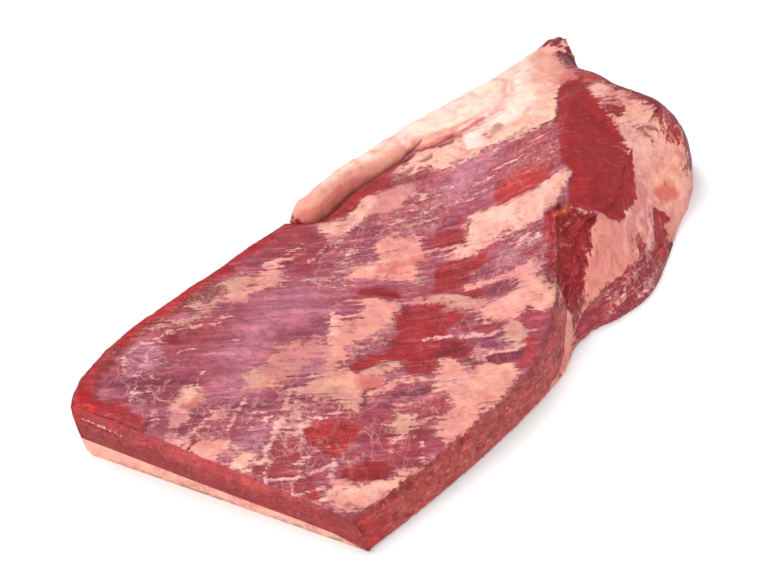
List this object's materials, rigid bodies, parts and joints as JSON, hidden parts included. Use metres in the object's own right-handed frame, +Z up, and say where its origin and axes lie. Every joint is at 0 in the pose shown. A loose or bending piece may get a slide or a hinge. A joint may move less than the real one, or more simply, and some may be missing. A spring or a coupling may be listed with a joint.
{
  "type": "raw beef brisket",
  "caption": "Whole raw boneless beef brisket, lean side up: a thin square-cut end, a thick humped end with a wedge of seam fat, and a fat cap that rolls up along one side.",
  "frame": {"origin": "on the resting surface, under the middle of the bounding box", "axes": "+X along the piece from the square-cut thin end to the thick end, +Y across it to the side with the roll of fat, +Z up"},
  "size_m": [0.5382, 0.237, 0.0761],
  "materials": {
    "lean": "raw lean meat, moist and satin, with a mauve silver-skin over the long fibres and patches of surface fat",
    "fat": "raw beef fat, smooth and moist, cream to pink"
  },
  "bodies": {
    "root": {"flat_muscle": "lean", "seam_fat": "fat", "point_muscle": "lean", "fat_cap": "fat"}
  },
  "joints": []
}
